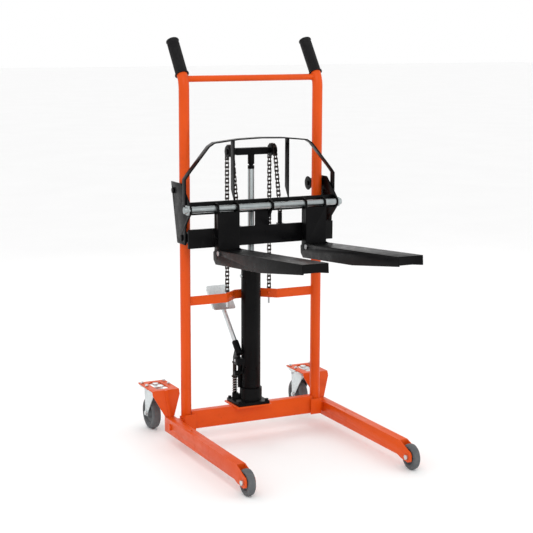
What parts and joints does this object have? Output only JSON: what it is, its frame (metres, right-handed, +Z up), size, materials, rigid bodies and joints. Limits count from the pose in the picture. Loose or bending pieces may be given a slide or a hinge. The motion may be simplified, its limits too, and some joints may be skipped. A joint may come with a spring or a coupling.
{
  "type": "walkie stacker",
  "caption": "Hand-pushed foot-pump stacker: tube mast on straddle legs, chain-lifted carriage with folding forks, wire guard and swivel casters.",
  "frame": {"origin": "on the floor, under the centre of the bounding box", "axes": "+Z up along the mast, -Y forward along the forks, +X to the right as seen from the front"},
  "size_m": [0.811, 1.1778, 1.632],
  "materials": {
    "orange_paint": "semi-gloss powder coat",
    "black_paint": "satin paint",
    "zinc": "zinc plated",
    "hard_chrome": "polished",
    "steel": "machined",
    "chain_steel": "oiled, dark",
    "spring_steel": "zinc plated wire",
    "grip_rubber": "matt, ribbed",
    "wheel_rubber": "matt grey"
  },
  "bodies": {
    "frame": {"mast_tube_left": "orange_paint", "mast_tube_right": "orange_paint", "top_cross_tube": "orange_paint", "middle_strap": "orange_paint", "lower_crossbar": "orange_paint", "leg_left": "orange_paint", "leg_right": "orange_paint", "frame_bolts": "black_paint", "caster_bracket_left": "orange_paint", "caster_bracket_right": "orange_paint", "caster_bolts": "zinc", "handle_grip_left": "grip_rubber", "handle_grip_right": "grip_rubber", "hydraulic_base": "black_paint", "cylinder_tube": "black_paint", "cylinder_gland": "black_paint", "filler_plug": "zinc", "lever_pivot_pin": "steel", "chain_anchor_studs": "zinc", "front_axles": "zinc", "caster_plates": "zinc", "chain_rear_strands": "chain_steel", "pump_spring": "spring_steel"},
    "ram": {"ram_rod": "hard_chrome", "crosshead": "black_paint", "chain_wraps": "chain_steel", "chain_front_strands": "chain_steel"},
    "carriage": {"carriage_side_plate_left": "black_paint", "carriage_side_plate_right": "black_paint", "carriage_upper_bar": "black_paint", "carriage_lower_bar": "black_paint", "carriage_centre_plate": "black_paint", "load_guard": "black_paint", "fork_shaft": "hard_chrome", "roller_pins": "black_paint"},
    "pedal": {"pedal_lever": "zinc", "lever_socket": "black_paint"},
    "plunger": {"pump_plunger": "steel"},
    "valve": {"release_knob": "black_paint"},
    "brake": {"caster_brake_right": "zinc"},
    "chain_wheel_left": {"chain_wheel_left": "black_paint"},
    "guide_roller_upper_left": {"guide_roller_upper_left": "black_paint"},
    "guide_roller_lower_left": {"guide_roller_lower_left": "black_paint"},
    "chain_wheel_right": {"chain_wheel_right": "black_paint"},
    "guide_roller_upper_right": {"guide_roller_upper_right": "black_paint"},
    "guide_roller_lower_right": {"guide_roller_lower_right": "black_paint"},
    "fork_arm_left": {"fork_shank_left": "black_paint"},
    "fork_left": {"fork_blade_left": "black_paint", "fork_hinge_pin_left": "steel"},
    "caster_left": {"caster_fork_left": "zinc", "caster_axle_left": "zinc"},
    "caster_wheel_left": {"caster_wheel_left": "wheel_rubber"},
    "front_wheel_left": {"front_wheel_left": "wheel_rubber"},
    "fork_arm_right": {"fork_shank_right": "black_paint"},
    "fork_right": {"fork_blade_right": "black_paint", "fork_hinge_pin_right": "steel"},
    "caster_right": {"caster_fork_right": "zinc", "caster_axle_right": "zinc"},
    "caster_wheel_right": {"caster_wheel_right": "wheel_rubber"},
    "front_wheel_right": {"front_wheel_right": "wheel_rubber"}
  },
  "joints": [
    {"name": "ram_lift", "type": "slide", "parent": "frame", "child": "ram", "axis": [0, 0, 1], "range_m": [-0.35, 0.11], "deforming": ["chain_rear_strands"]},
    {"name": "carriage_lift", "type": "slide", "parent": "ram", "child": "carriage", "axis": [0, 0, 1], "range_m": [-0.35, 0.11], "deforming": ["chain_front_strands"]},
    {"name": "chain_wheel_left_spin", "type": "hinge", "parent": "ram", "child": "chain_wheel_left", "pos_m": [-0.095, 0.27889, 1.176], "axis": [1, 0, 0], "range_deg": [-250.16, 789.41]},
    {"name": "guide_roller_upper_left_spin", "type": "hinge", "parent": "carriage", "child": "guide_roller_upper_left", "pos_m": [-0.295, 0.31019, 1.03], "axis": [1, 0, 0], "range_deg": [-2008.35, 633.25]},
    {"name": "guide_roller_lower_left_spin", "type": "hinge", "parent": "carriage", "child": "guide_roller_lower_left", "pos_m": [-0.295, 0.22759, 0.85], "axis": [1, 0, 0], "range_deg": [-633.25, 2008.35]},
    {"name": "chain_wheel_right_spin", "type": "hinge", "parent": "ram", "child": "chain_wheel_right", "pos_m": [0.095, 0.27889, 1.176], "axis": [1, 0, 0], "range_deg": [-250.16, 789.41]},
    {"name": "guide_roller_upper_right_spin", "type": "hinge", "parent": "carriage", "child": "guide_roller_upper_right", "pos_m": [0.295, 0.31019, 1.03], "axis": [1, 0, 0], "range_deg": [-2008.35, 633.25]},
    {"name": "guide_roller_lower_right_spin", "type": "hinge", "parent": "carriage", "child": "guide_roller_lower_right", "pos_m": [0.295, 0.22759, 0.85], "axis": [1, 0, 0], "range_deg": [-633.25, 2008.35]},
    {"name": "fork_left_shift", "type": "slide", "parent": "carriage", "child": "fork_arm_left", "axis": [1, 0, 0], "range_m": [-0.1, 0.12]},
    {"name": "fork_left_fold", "type": "hinge", "parent": "fork_arm_left", "child": "fork_left", "pos_m": [-0.1652, 0.11689, 0.797], "axis": [-1, 0, 0], "range_deg": [0, 85]},
    {"name": "caster_left_swivel", "type": "hinge", "parent": "frame", "child": "caster_left", "pos_m": [-0.347, 0.47489, 0.1677], "axis": [0, 0, 1], "continuous": true},
    {"name": "caster_wheel_left_spin", "type": "hinge", "parent": "caster_left", "child": "caster_wheel_left", "pos_m": [-0.347, 0.51989, 0.068], "axis": [1, 0, 0], "continuous": true},
    {"name": "front_wheel_left_spin", "type": "hinge", "parent": "frame", "child": "front_wheel_left", "pos_m": [-0.347, -0.42111, 0.05], "axis": [1, 0, 0], "continuous": true},
    {"name": "fork_right_shift", "type": "slide", "parent": "carriage", "child": "fork_arm_right", "axis": [1, 0, 0], "range_m": [-0.125, 0.046]},
    {"name": "fork_right_fold", "type": "hinge", "parent": "fork_arm_right", "child": "fork_right", "pos_m": [0.2218, 0.11689, 0.797], "axis": [-1, 0, 0], "range_deg": [0, 85]},
    {"name": "caster_right_swivel", "type": "hinge", "parent": "frame", "child": "caster_right", "pos_m": [0.347, 0.47489, 0.1677], "axis": [0, 0, 1], "continuous": true},
    {"name": "caster_wheel_right_spin", "type": "hinge", "parent": "caster_right", "child": "caster_wheel_right", "pos_m": [0.347, 0.51989, 0.068], "axis": [1, 0, 0], "continuous": true},
    {"name": "front_wheel_right_spin", "type": "hinge", "parent": "frame", "child": "front_wheel_right", "pos_m": [0.347, -0.42111, 0.05], "axis": [1, 0, 0], "continuous": true},
    {"name": "pedal_press", "type": "hinge", "parent": "frame", "child": "pedal", "pos_m": [-0.056, 0.27989, 0.316], "axis": [-1, 0, 0], "range_deg": [0, 25]},
    {"name": "plunger_stroke", "type": "slide", "parent": "frame", "child": "plunger", "axis": [0, 0, -1], "range_m": [0, 0.0165], "stiffness_N_per_m": 4000, "springref_m": -0.02, "deforming": ["pump_spring"]},
    {"name": "release_valve_turn", "type": "hinge", "parent": "frame", "child": "valve", "pos_m": [-0.052, 0.27889, 0.262], "axis": [1, 0, 0], "range_deg": [0, 180]},
    {"name": "brake_press", "type": "hinge", "parent": "caster_right", "child": "brake", "pos_m": [0.347, 0.53289, 0.1607], "axis": [-1, 0, 0], "range_deg": [0, 20]}
  ],
  "couplings": [
    {"joint": "carriage_lift", "follows": "ram_lift", "ratio": 1},
    {"joint": "chain_wheel_left_spin", "follows": "ram_lift", "rad_per_m": -39.216},
    {"joint": "guide_roller_upper_left_spin", "follows": "ram_lift", "rad_per_m": 100},
    {"joint": "guide_roller_lower_left_spin", "follows": "ram_lift", "rad_per_m": -100},
    {"joint": "chain_wheel_right_spin", "follows": "ram_lift", "rad_per_m": -39.216},
    {"joint": "guide_roller_upper_right_spin", "follows": "ram_lift", "rad_per_m": 100},
    {"joint": "guide_roller_lower_right_spin", "follows": "ram_lift", "rad_per_m": -100},
    {"joint": "plunger_stroke", "follows": "pedal_press", "m_per_rad": 0.037}
  ]
}
